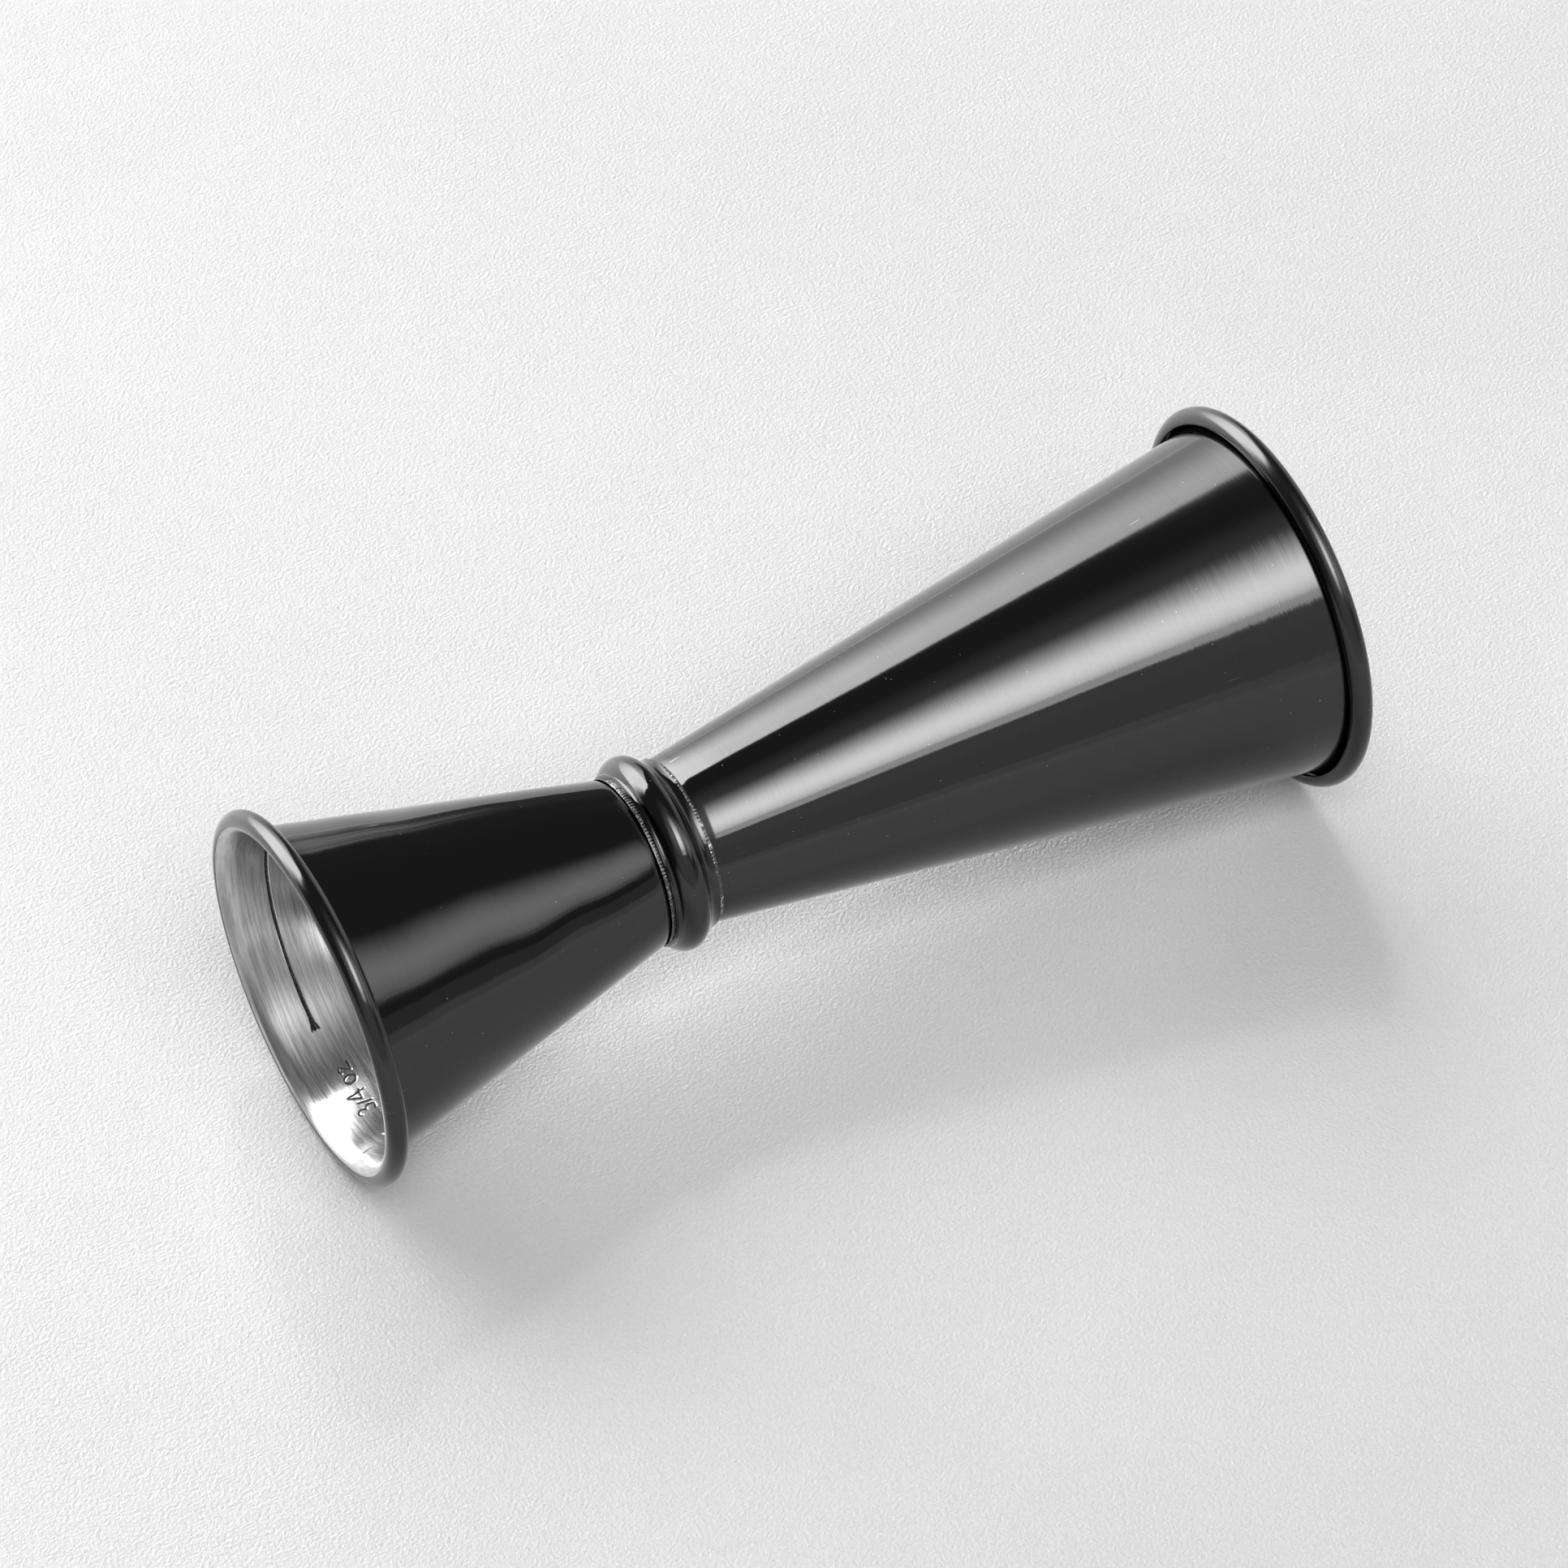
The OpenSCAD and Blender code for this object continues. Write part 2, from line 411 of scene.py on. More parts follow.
class Cup:
    """The bends of one cup's sheet, worked out from its sizes."""

    def __init__(self, sizes, cup):
        self.sizes = sizes
        self.cup = cup
        self.foot_r = sizes.foot / 2
        self.tube = cup.curl / 2
        self.rim_r = (cup.mouth + cup.curl) / 2
        flare_shift = (sizes.flare_radius - self.tube) * (1 - cos(cup.flare))
        out = self.rim_r - self.foot_r
        seat = self.tube + flare_shift - sizes.wall
        self.lean = acos(seat / hypot(out, cup.depth)) - atan2(cup.depth, out)
        self.into_cup = pi - self.lean
        self.into_curl = self.into_cup - cup.flare
        self.rim = np.array([self.rim_r, cup.depth])
        self.flare_c = self.rim + (self.tube - sizes.flare_radius) * direction(self.into_curl)
        self.inner_r = self.foot_r - sizes.wall / cos(self.lean)

    def corner(self, line_r, floor, radius):
        """Centre of the round corner between the floor and the wall."""
        up = floor + radius
        return np.array([line_r + up * tan(self.lean) - radius / cos(self.lean), up])

    def inside_radius(self, up):
        """Radius of the inside wall at a distance from the waist."""
        return self.inner_r + up * tan(self.lean)


def direction(turn):
    """Unit vector at an angle."""
    return np.array([cos(turn), sin(turn)])


def arc(centre, radius, start, end, steps):
    """Points of a round stretch."""
    turns = [start + (end - start) * i / steps for i in range(steps + 1)]
    return [np.asarray(centre) + radius * direction(turn) for turn in turns]


def line(start, end, steps):
    """Points of a straight stretch, without its last one."""
    start, end = np.asarray(start), np.asarray(end)
    return [start + (end - start) * i / steps for i in range(steps)]


def cup_outline(shape, dense):
    """Section of a cup, with a tag for each of its points.

    It runs from the middle of the inside floor out over the rim to the middle of the outside floor.
    Between the two heights in dense the inside wall gets close rows for its marks."""
    sizes = shape.sizes
    wall = sizes.wall
    inner_corner = shape.corner(shape.inner_r, wall, sizes.corner)
    outer_corner = shape.corner(shape.foot_r, 0, sizes.corner + wall)
    wall_foot = inner_corner + sizes.corner * direction(-shape.lean)
    wall_top = shape.flare_c + sizes.flare_radius * direction(shape.into_cup)
    outer_top = shape.flare_c + (sizes.flare_radius - wall) * direction(shape.into_cup)
    outer_foot = outer_corner + (sizes.corner + wall) * direction(-shape.lean)
    curl_end = shape.into_curl - sizes.curl_turn
    points = []
    tags = []

    def add(stretch, tag):
        points.extend(stretch)
        tags.extend([tag] * len(stretch))

    def on_wall(up):
        return np.array([shape.inside_radius(up), up])

    def add_arc(centre, radius, start, end, steps, tag):
        add(arc(centre, radius, start, end, steps)[:-1], tag)

    into_cup, into_curl = shape.into_cup, shape.into_curl
    add(line((0, wall), (inner_corner[0], wall), FLOOR_STEPS), "steel")
    add_arc(inner_corner, sizes.corner, -pi / 2, -shape.lean, CORNER_STEPS, "steel")
    rows = round((dense[1] - dense[0]) / MARK_PITCH)
    add(line(wall_foot, on_wall(dense[0]), DEEP_WALL_STEPS), "steel")
    add(line(on_wall(dense[0]), on_wall(dense[1]), rows), "marked")
    add(line(on_wall(dense[1]), wall_top, TOP_WALL_STEPS), "steel")
    add_arc(shape.flare_c, sizes.flare_radius, into_cup, into_curl, INNER_FLARE_STEPS, "steel")
    add_arc(shape.rim, shape.tube, into_curl, sizes.coat_edge, BARE_RIM_STEPS, "steel")
    add_arc(shape.rim, shape.tube, sizes.coat_edge, curl_end, COATED_RIM_STEPS, "coat")
    sheet_edge = shape.rim + (shape.tube - wall / 2) * direction(curl_end)
    add_arc(sheet_edge, wall / 2, curl_end, curl_end - pi, SHEET_EDGE_STEPS, "coat")
    add_arc(shape.rim, shape.tube - wall, curl_end, into_curl, HIDDEN_RIM_STEPS, "coat")
    add_arc(shape.flare_c, sizes.flare_radius - wall, into_curl, into_cup, OUTER_FLARE_STEPS, "coat")
    add(line(outer_top, outer_foot, OUTER_WALL_STEPS), "coat")
    add_arc(outer_corner, sizes.corner + wall, -shape.lean, -pi / 2, CORNER_STEPS, "coat")
    add(line((outer_corner[0], 0), (0, 0), FLOOR_STEPS) + [np.array([0.0, 0.0])], "coat")
    return np.array(points), tags


def column_angles(sizes):
    """Angles of the columns of a cup's mesh, close together where the figures stand."""
    half = sizes.mark_gap / 2 + MARK_MARGIN
    fine = np.arange(-half, half, FINE_STEP)
    coarse = np.arange(half, 2 * pi - half, COARSE_STEP)
    return sizes.mark_turn + np.concatenate([fine, coarse])


def turned_mesh(name, points, angles, tags, slots, closed, push=None):
    """A mesh that turns a section about the jigger's axis, which leans from the mesh's own Z.

    push moves the points in (radius, height) by an array of (rows, columns, 2). A section that isn't
    closed starts and ends on the axis."""
    radius = np.repeat(points[:, :1], len(angles), axis=1)
    height = np.repeat(points[:, 1:], len(angles), axis=1)
    if push is not None:
        radius = radius + push[..., 0]
        height = height + push[..., 1]
    tilt = rest_tilt(settings().sizes)
    down = radius * np.cos(angles)
    side = radius * np.sin(angles)
    x = down * cos(tilt) - height * sin(tilt)
    z = down * sin(tilt) + height * cos(tilt)
    co = np.stack([x, side, z], axis=-1)
    rows, columns = radius.shape
    index = np.arange(rows * columns).reshape(rows, columns)
    # Rings of four-sided faces; a closed section also joins its last row to its first
    first, last = (0, rows) if closed else (1, rows - 2)
    faces, face_slots = [], []
    for row in range(first, last):
        here = index[row]
        there = index[(row + 1) % rows]
        slot = slots[tags[row]]
        ring = zip(here, np.roll(here, -1), np.roll(there, -1), there)
        faces.extend(tuple(int(i) for i in face) for face in ring)
        face_slots.extend([slot] * columns)
    # Fans of triangles round the two ends of an open section, each of which is one point on the axis
    if not closed:
        for pole, row, turn in ((0, 1, 1), (rows - 1, rows - 2, -1)):
            rim = index[row][::turn]
            faces.extend((int(index[pole][0]), int(b), int(a)) for a, b in zip(rim, np.roll(rim, -1)))
            face_slots.extend([slots[tags[min(pole, rows - 2)]]] * columns)
    mesh = bpy.data.meshes.new(name)
    mesh.from_pydata(co.reshape(-1, 3).tolist(), [], faces)
    mesh.polygons.foreach_set("material_index", face_slots)
    shell = bmesh.new()
    shell.from_mesh(mesh)
    loose = [v for v in shell.verts if not v.link_faces]
    bmesh.ops.delete(shell, geom=loose, context="VERTS")
    bmesh.ops.recalc_face_normals(shell, faces=shell.faces)
    shell.to_mesh(mesh)
    shell.free()
    mesh.shade_smooth()
    mesh.set_sharp_from_angle(angle=SHARP_BEND)
    return mesh


def rest_tilt(sizes):
    """Angle between the jigger's axis and the table when both rims touch it."""
    large, small = Cup(sizes, sizes.large), Cup(sizes, sizes.small)
    run = sizes.large.depth + sizes.small.depth
    rise = large.rim_r - small.rim_r
    return atan2(rise, run) + asin((large.tube - small.tube) / hypot(run, rise))


def rest_matrix(sizes):
    """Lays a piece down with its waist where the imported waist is, its own Z along the table."""
    large = Cup(sizes, sizes.large)
    tilt = rest_tilt(sizes)
    reach = sizes.large.depth * cos(tilt) + large.rim_r * sin(tilt) + large.tube
    ring_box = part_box("waist_ring")
    waist = Vector((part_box("large_cup")[1].x - reach, 0, (ring_box[0].z + ring_box[1].z) / 2))
    return Matrix.Translation(waist) @ Matrix.Rotation(pi / 2, 4, "Y")


def place(name, mesh, node, slot, sizes, materials):
    """Puts a piece where its CAD node lies, and hides that node."""
    for material in materials:
        mesh.materials.append(material)
    piece = bpy.data.objects.new(name, mesh)
    bpy.context.scene.collection.objects.link(piece)
    piece.matrix_world = rest_matrix(sizes)
    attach(piece, "root")
    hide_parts(node)


# ---------------------------------------------------------------- figures


def bow(x, y, across, up, start, end, steps=14):
    """Points of part of an ellipse, with its angles in degrees."""
    turns = [radians(start + (end - start) * i / steps) for i in range(steps + 1)]
    return [(x + across * cos(t), y + up * sin(t)) for t in turns]


# Strokes of each figure in millimetres, from its own left end on the base line
GLYPHS = {
    "1": [[(0.15, 1.7), (0.5, 2.1), (0.5, 0)]],
    "2": [bow(0.6, 1.5, 0.5, 0.6, 160, -40) + [(0.05, 0), (1.2, 0)]],
    "3": [bow(0.62, 1.62, 0.46, 0.5, 150, -80), bow(0.68, 0.58, 0.58, 0.58, 95, -140)],
    "4": [[(0.95, 2.1), (0, 0.75), (1.35, 0.55)], [(1.0, 2.1), (1.15, 0)]],
    "/": [[(0, 0), (0.5, 1.45)]],
    "o": [bow(0.6, 0.68, 0.56, 0.68, 90, 450, 24)],
    "z": [[(0.1, 1.2), (0.3, 1.35), (0.75, 1.3), (0.85, 1.05), (0.05, 0.05), (1.2, 0.02)]],
}
ADVANCE = {"1": 0.95, "2": 1.55, "3": 1.65, "4": 1.7, "/": 0.85, "o": 1.65, "z": 1.3, " ": 0.85}


def written(text):
    """Strokes of a line of figures, centred, in metres."""
    strokes, x = [], 0.0
    for sign in text:
        strokes.extend([[(x + px, py) for px, py in stroke] for stroke in GLYPHS.get(sign, [])])
        x += ADVANCE[sign]
    return [np.array([(px - x / 2, py) for px, py in stroke]) * MM for stroke in strokes]


def stroke_distance(x, y, stroke):
    """Distance of each point from a stroke of straight pieces."""
    nearest = np.full(x.shape, np.inf)
    for (ax, ay), (bx, by) in zip(stroke[:-1], stroke[1:]):
        dx, dy = bx - ax, by - ay
        along = np.clip(((x - ax) * dx + (y - ay) * dy) / (dx * dx + dy * dy), 0, 1)
        nearest = np.minimum(nearest, np.hypot(x - ax - along * dx, y - ay - along * dy))
    return nearest


def mark_depths(sizes, shape, text, height, angles, flip):
    """Depth cut into the inside wall by the measure line and its figures, for rows at those heights.

    flip is -1 where the figures run against the columns."""
    mark_up = shape.cup.depth - shape.cup.mark_drop
    radius = shape.inside_radius(mark_up)
    turn = (angles - sizes.mark_turn + pi) % (2 * pi) - pi
    x = np.repeat(turn[None, :] * radius * flip, len(height), axis=0)
    y = np.repeat((height[:, None] - mark_up) / cos(shape.lean), len(angles), axis=1)
    half = sizes.figure_width / 2
    cut = np.zeros(x.shape)
    for stroke in written(text):
        away = stroke_distance(x, y + FIGURE_DROP, stroke)
        cut = np.maximum(cut, sizes.figure_depth * np.clip(1 - (away / half) ** 2, 0, 1))
    end = sizes.mark_gap / 2 * radius
    past = np.abs(x) - end
    groove = np.clip(1 - (2 * y / sizes.mark_width) ** 2, 0, 1) * (past > 0)
    cut = np.maximum(cut, sizes.mark_depth * groove)
    spread = FISHTAIL_SPREAD * np.clip(1 - past / FISHTAIL_LENGTH, 0, 1)
    prong = np.clip(1 - ((np.abs(y) - spread) / half) ** 2, 0, 1)
    tail = (past > 0) & (past < FISHTAIL_LENGTH)
    return np.maximum(cut, sizes.mark_depth * prong * tail)


# ---------------------------------------------------------------- finishes


def turned_coordinates(graph):
    """Place round the jigger's axis: cosine and sine of its turn, radius and height in millimetres."""
    place_of = graph.value("ShaderNodeTexCoord", None, None, "Object")
    tilt = rest_tilt(settings().sizes)
    down = graph.dot(place_of, (cos(tilt) / MM, 0, sin(tilt) / MM))
    side = graph.dot(place_of, (0, 1 / MM, 0))
    height = graph.dot(place_of, (-sin(tilt) / MM, 0, cos(tilt) / MM))
    radius = (down * down + side * side) ** 0.5
    return down / radius, side / radius, radius, height


def round_noise(graph, place_of, around, along, detail=2.0, roughness=0.5):
    """Noise with so many features to a radian round the axis, and so many to a millimetre along it."""
    east, north, radius, height = place_of
    spot = graph.join(east * around, north * around, (height + radius) * along)
    return graph.noise(spot, 1.0, detail, roughness)


def frayed_normal(graph, amount):
    """The surface's normal, turned round the axis by an amount in radians."""
    normal = graph.value("ShaderNodeNewGeometry", None, None, "Normal")
    tangent = graph.value("ShaderNodeTangent", {"direction_type": "RADIAL", "axis": "Z"})
    terms = {0: tangent, 1: amount, 2: normal}
    turned = graph.value("ShaderNodeVectorMath", {"operation": "MULTIPLY_ADD"}, terms)
    return graph.value("ShaderNodeVectorMath", {"operation": "NORMALIZE"}, {0: turned})


def coat_material(finish):
    """Polished dark coat: fraying turned lines, an uneven small cup, hair scratches and specks.

    Heights and relief are in millimetres, and fray is in radians."""
    material, graph = new_material("dark_coat")
    sizes = settings().sizes
    large_rim = sizes.large.depth / MM
    small_rim = -sizes.small.depth / MM
    middle = (large_rim + small_rim) / 2
    reach = (large_rim - small_rim) / 2
    place_of = turned_coordinates(graph)
    height = place_of[3]
    small_side = graph.ramp(height, start=2, end=-2)
    near_mouth = graph.ramp(height, start=large_rim - 29.1, end=large_rim - 3.1)
    on_rim = graph.ramp(abs(height - middle), start=reach - 2.0, end=reach - 0.7)

    comb = round_noise(graph, place_of, around=3.0, along=9.0, roughness=0.6)
    swell = round_noise(graph, place_of, around=1.2, along=0.11, detail=1.0)
    fray = (comb - 0.5) * (0.012 + near_mouth * 0.05) + (swell - 0.5) * small_side * 0.16
    lines = round_noise(graph, place_of, around=1.2, along=5.0, detail=3.0, roughness=0.65)
    waves = round_noise(graph, place_of, around=1.6, along=0.085, detail=1.0)
    relief = lines * 0.0012 + waves * 0.03

    hairs = round_noise(graph, place_of, around=9.0, along=0.06, detail=0.0)
    where = round_noise(graph, place_of, around=5.0, along=0.25, detail=0.0)
    dust = round_noise(graph, place_of, around=60.0, along=4.0, detail=0.0)
    hair = graph.ramp(abs(hairs - 0.5), start=0.006, end=0.002) * graph.ramp(where, start=0.78, end=0.82)
    worn = graph.ramp(dust, start=0.885, end=0.9) + hair * 0.5

    low = shade(finish.coat_colour, 0.97)
    high = shade(finish.coat_colour, 1.03)
    bare = shade(finish.coat_colour, 5)
    plain = graph.tint(graph.ramp(lines, start=0.3, end=0.7), low, high)
    smooth = finish.coat_roughness * (1 + near_mouth * 0.6 + on_rim)
    graph.surface({
        "Base Color": graph.blend(worn, plain, (*bare, 1)),
        "Roughness": smooth * graph.ramp(lines, start=0.3, end=0.7, low=0.85, high=1.15) + worn * 0.3,
        "Metallic": 1.0,
        "Anisotropic": 0.5,
        "Anisotropic Rotation": 0.25,
        "Normal": graph.bump(relief, frayed_normal(graph, fray)),
    })
    return material


def steel_material(finish):
    """Bare steel with strong lines turned round the inside of the cup."""
    material, graph = new_material("turned_steel")
    place_of = turned_coordinates(graph)
    fine = round_noise(graph, place_of, around=3.0, along=5.0, detail=3.0, roughness=0.7)
    broad = round_noise(graph, place_of, around=1.0, along=1.6, roughness=0.6)
    comb = round_noise(graph, place_of, around=4.0, along=12.0, roughness=0.6)
    low = shade(finish.steel_colour, 0.66)
    high = shade(finish.steel_colour, 1.16)
    smoother = finish.steel_roughness * 0.85
    rougher = finish.steel_roughness * 1.15
    fray = (comb - 0.5) * 0.09
    relief = fine * 0.001 + broad * 0.001
    graph.surface({
        "Base Color": graph.tint(graph.ramp(fine, start=0.3, end=0.7), low, high),
        "Roughness": graph.ramp(broad, start=0.25, end=0.75, low=smoother, high=rougher),
        "Metallic": 0.85,
        "Normal": graph.bump(relief, frayed_normal(graph, fray)),
    })
    return material


def groove_shade_material(finish):
    """Matt steel at the bottom of the measure line and its figures, darkened there as painted shade in
    the grooves.
    """
    material, graph = new_material("painted_groove_shade")
    place_of = graph.value("ShaderNodeTexCoord", None, None, "Object")
    grains = graph.noise(place_of, scale=4000.0, detail=2.0, roughness=0.6)
    dark = shade(finish.steel_colour, 0.08)
    light = shade(finish.steel_colour, 0.25)
    graph.surface({
        "Base Color": graph.tint(graph.ramp(grains, start=0.35, end=0.65), dark, light),
        "Roughness": graph.ramp(grains, start=0.3, end=0.7, low=0.4, high=0.6),
        "Metallic": 1.0,
        "Normal": graph.bump(grains * 0.02),
    })
    return material


def weld_material(finish):
    """Fine uneven weld metal, dark like the coat, with its tips rubbed bright."""
    material, graph = new_material("weld_metal")
    place_of = graph.value("ShaderNodeTexCoord", None, None, "Object")
    grains = graph.noise(place_of, scale=3000.0, detail=3.0, roughness=0.6)
    patches = graph.noise(place_of, scale=260.0, detail=2.0, roughness=0.5)
    bright = graph.ramp(grains + patches, start=1.1, end=1.22)
    dark = shade(finish.weld_colour, 0.22)
    smooth = finish.weld_roughness * 0.6
    graph.surface({
        "Base Color": graph.tint(bright, dark, finish.weld_colour),
        "Roughness": graph.ramp(grains, start=0.3, end=0.7, low=finish.weld_roughness, high=smooth),
        "Metallic": 1.0,
        "Normal": graph.bump(grains * 0.06),
    })
    return material


def table_material(stage):
    """Pale honed stone with a sandy grain, faint clouds and a soft sheen, and painted shade that darkens
    it far off to one side.
    """
    material, graph = new_material("pale_stone")
    place_of = graph.value("ShaderNodeTexCoord", None, None, "Object")
    grain = graph.noise(place_of, scale=2200.0, detail=2.0, roughness=0.65)
    cloud = graph.noise(place_of, scale=14.0, detail=4.0, roughness=0.55, distortion=0.6)
    low = shade(stage.table_colour, 0.93)
    high = shade(stage.table_colour, 1.02)
    far_shade_colour = shade(stage.table_colour, 0.6)
    near = graph.tint(graph.ramp(cloud * 0.5 + grain * 0.5, start=0.3, end=0.7), low, high)
    # Painted shade: the table's colour turns darker far off towards one side
    away = graph.ramp(graph.dot(place_of, facing(radians(-60), 0)), start=0.19, end=0.29)
    graph.surface({
        "Base Color": graph.blend(away, near, (*far_shade_colour, 1)),
        "Roughness": graph.ramp(grain, start=0.3, end=0.7, low=0.4, high=0.5),
        "Normal": graph.bump(grain * 0.17),
    })
    return material


# ---------------------------------------------------------------- pieces


def finished(name, maker):
    """A material by name, made when it is first asked for."""
    return bpy.data.materials.get(name) or maker(settings().finish)


def cup_piece(name, cup, text, upright):
    """One cup with its marks cut into the inside wall; upright means that its mouth ends the axis."""
    sizes = settings().sizes
    shape = Cup(sizes, cup)
    mark_up = cup.depth - cup.mark_drop
    points, tags = cup_outline(shape, (mark_up - MARK_REACH_DOWN, mark_up + MARK_REACH_UP))
    angles = column_angles(sizes)
    push = np.zeros((len(points), len(angles), 2))
    marked = np.array([tag == "marked" for tag in tags])
    flip = -1 if upright else 1
    cut = mark_depths(sizes, shape, text, points[marked, 1], angles, flip)
    push[marked, :, 0] = cut * cos(shape.lean)
    push[marked, :, 1] = -cut * sin(shape.lean)
    slots = {"coat": 0, "steel": 1, "marked": 1}
    if not upright:
        points = points * np.array([1, -1])
        push = push * np.array([1, -1])
    mesh = turned_mesh(name, points, angles, tags, slots, False, push)
    # The mesh's faces follow the section ring by ring and start at its second row
    first_ring = int(np.argmax(marked)) - 1
    # Faces deep in a groove get the dark material: painted shade in the recess
    for row, column in zip(*np.nonzero(cut > sizes.figure_depth * GROOVE_SHADE_FROM)):
        mesh.polygons[(first_ring + int(row)) * len(angles) + int(column)].material_index = 2
    materials = [
        finished("dark_coat", coat_material),
        finished("turned_steel", steel_material),
        finished("painted_groove_shade", groove_shade_material),
    ]
    place(name + "_body", mesh, name, "cup_sheet", sizes, materials)


def seat_point(sizes, lean, along, high):
    """Point by its distance along a cup's wall from the bead's foot, and its height off the wall."""
    foot_r = sizes.foot / 2
    foot_along = (sizes.ring_stand - sizes.ring_bead) * sin(lean)
    wall_way = np.array([sin(lean), cos(lean)])
    off_way = np.array([cos(lean), -sin(lean)])
    return np.array([foot_r, 0]) + (along + foot_along) * wall_way + high * off_way


def hollow_run(sizes, lean, hollow):
    """Distance along the wall from the bead's foot to where the hollow meets the lip."""
    rise = sizes.ring_wall + hollow - (sizes.ring_stand - sizes.ring_bead) * cos(lean)
    return sqrt((sizes.ring_bead + hollow) ** 2 - rise ** 2)


def ring_side(sizes, lean, hollow, lip, inset):
    """Points of one side of the ring from its lip's end to the bead, and the bead's angle there."""
    run = hollow_run(sizes, lean, hollow)
    centre = seat_point(sizes, lean, run, sizes.ring_wall + hollow)
    bead_c = np.array([sizes.foot / 2 + sizes.ring_stand - sizes.ring_bead, 0])
    to_bead = bead_c - centre
    bead_turn = atan2(-to_bead[1], -to_bead[0])
    start = pi - lean
    end = atan2(to_bead[1], to_bead[0]) % (2 * pi)
    high = sizes.ring_wall - inset
    lip_end = seat_point(sizes, lean, run + lip, high)
    lip_points = line(lip_end, seat_point(sizes, lean, run, high), LIP_STEPS)
    return lip_points + arc(centre, hollow + inset, start, end, HOLLOW_STEPS), bead_turn


def ring_outline(sizes):
    """Closed section of the ring: outside from the large side's lip to the small one's, then inside."""
    large_lean = Cup(sizes, sizes.large).lean
    small_lean = Cup(sizes, sizes.small).lean
    bead_c = np.array([sizes.foot / 2 + sizes.ring_stand - sizes.ring_bead, 0])
    down = np.array([1, -1])

    def face(inset):
        up_side, up_turn = ring_side(sizes, large_lean, sizes.large_hollow, sizes.large_lip, inset)
        low_side, low_turn = ring_side(sizes, small_lean, sizes.small_hollow, sizes.small_lip, inset)
        bead = arc(bead_c, sizes.ring_bead - inset, up_turn, -low_turn, BEAD_STEPS)
        return up_side + bead[1:-1] + [point * down for point in reversed(low_side)]

    outer = face(0)
    inner = face(sizes.ring_wall)
    return np.array(outer + list(reversed(inner)))


def weld_outline(sizes, lean, hollow, lip):
    """Closed section of the weld beside a lip."""
    start = hollow_run(sizes, lean, hollow) + lip
    points = [seat_point(sizes, lean, start, 0)]
    for i in range(WELD_STEPS + 1):
        across = i / WELD_STEPS
        high = sizes.weld_height * (1 - across * across)
        points.append(seat_point(sizes, lean, start + sizes.weld_width * across, high))
    return np.array(points)


def weld_spots(sizes, lean, hollow, lip, flip, points, angles, chance):
    """How far each point of a weld sinks between its spots, where flip is -1 on the small cup's side."""
    spots = np.abs(np.sin(angles * WELD_SPOTS / 2))
    spot_of = (angles * WELD_SPOTS / (2 * pi)).astype(int)
    rough = chance.uniform(LEAST_SPOT, 1, WELD_SPOTS)[spot_of]
    low = 1 - SPOT_HOLD * spots * rough
    seat = seat_point(sizes, lean, hollow_run(sizes, lean, hollow) + lip, 0) * np.array([1, flip])
    off_way = np.array([cos(lean), -sin(lean) * flip])
    high = np.maximum((points - seat) @ off_way, 0)
    return -(high[:, None] * low[None, :])[..., None] * off_way * WELD_SINK


class JIGGER_OT_large_cup(bpy.types.Operator):
    """Build the large cup with its measure line and figures"""

    bl_idname = "jigger.large_cup"
    bl_label = "Large cup"

    def execute(self, context):
        cup_piece("large_cup", settings().sizes.large, "1 1/2 oz", True)
        return {"FINISHED"}


class JIGGER_OT_small_cup(bpy.types.Operator):
    """Build the small cup with its measure line and figures"""

    bl_idname = "jigger.small_cup"
    bl_label = "Small cup"

    def execute(self, context):
        cup_piece("small_cup", settings().sizes.small, "3/4 oz", False)
        return {"FINISHED"}


class JIGGER_OT_waist_ring(bpy.types.Operator):
    """Build the beaded ring round the waist"""

    bl_idname = "jigger.waist_ring"
    bl_label = "Waist ring"

    def execute(self, context):
        sizes = settings().sizes
        points = ring_outline(sizes)
        angles = np.arange(0, 2 * pi, COARSE_STEP)
        mesh = turned_mesh("waist_ring", points, angles, ["coat"] * len(points), {"coat": 0}, True)
        coat = finished("dark_coat", coat_material)
        place("waist_ring_band", mesh, "waist_ring", "ring_band", sizes, [coat])
        return {"FINISHED"}


class JIGGER_OT_welds(bpy.types.Operator):
    """Build the two rows of small overlapping weld spots"""

    bl_idname = "jigger.welds"
    bl_label = "Welds"

    def execute(self, context):
        sizes = settings().sizes
        chance = np.random.default_rng(WELD_SEED)
        sides = (
            ("large_side_weld", Cup(sizes, sizes.large).lean, sizes.large_hollow, sizes.large_lip, 1),
            ("small_side_weld", Cup(sizes, sizes.small).lean, sizes.small_hollow, sizes.small_lip, -1),
        )
        angles = np.arange(0, 2 * pi, COARSE_STEP / 2)
        metal = finished("weld_metal", weld_material)
        for name, lean, hollow, lip, flip in sides:
            points = weld_outline(sizes, lean, hollow, lip) * np.array([1, flip])
            push = weld_spots(sizes, lean, hollow, lip, flip, points, angles, chance)
            mesh = turned_mesh(name, points, angles, ["weld"] * len(points), {"weld": 0}, True, push)
            place(name + "_bead", mesh, name, "weld", sizes, [metal])
        return {"FINISHED"}


# ---------------------------------------------------------------- stage


def facing(azimuth, elevation):
    """Unit vector towards an azimuth, counted from +X to +Y, and an elevation."""
    return Vector((cos(elevation) * cos(azimuth), cos(elevation) * sin(azimuth), sin(elevation)))


def sighted(graph, way, azimuth, elevation):
    """Where a direction meets a sheet one unit off, as across and up, and 1 if it points to that side.

    The sheet faces the jigger from an azimuth and elevation in degrees."""
    ahead = facing(radians(azimuth), radians(elevation))
    aside = ahead.cross(Vector((0, 0, 1))).normalized()
    above = aside.cross(ahead)
    depth = graph.dot(way, ahead)
    on_side = graph.ramp(depth, start=0.02, end=0.06)
    return graph.dot(way, aside) / depth, graph.dot(way, above) / depth, on_side


def after(graph, given, place, soft):
    """From 0 before a place to 1 after it, with a soft edge that reaches so far to either side."""
    return graph.ramp(given, place - soft, place + soft)


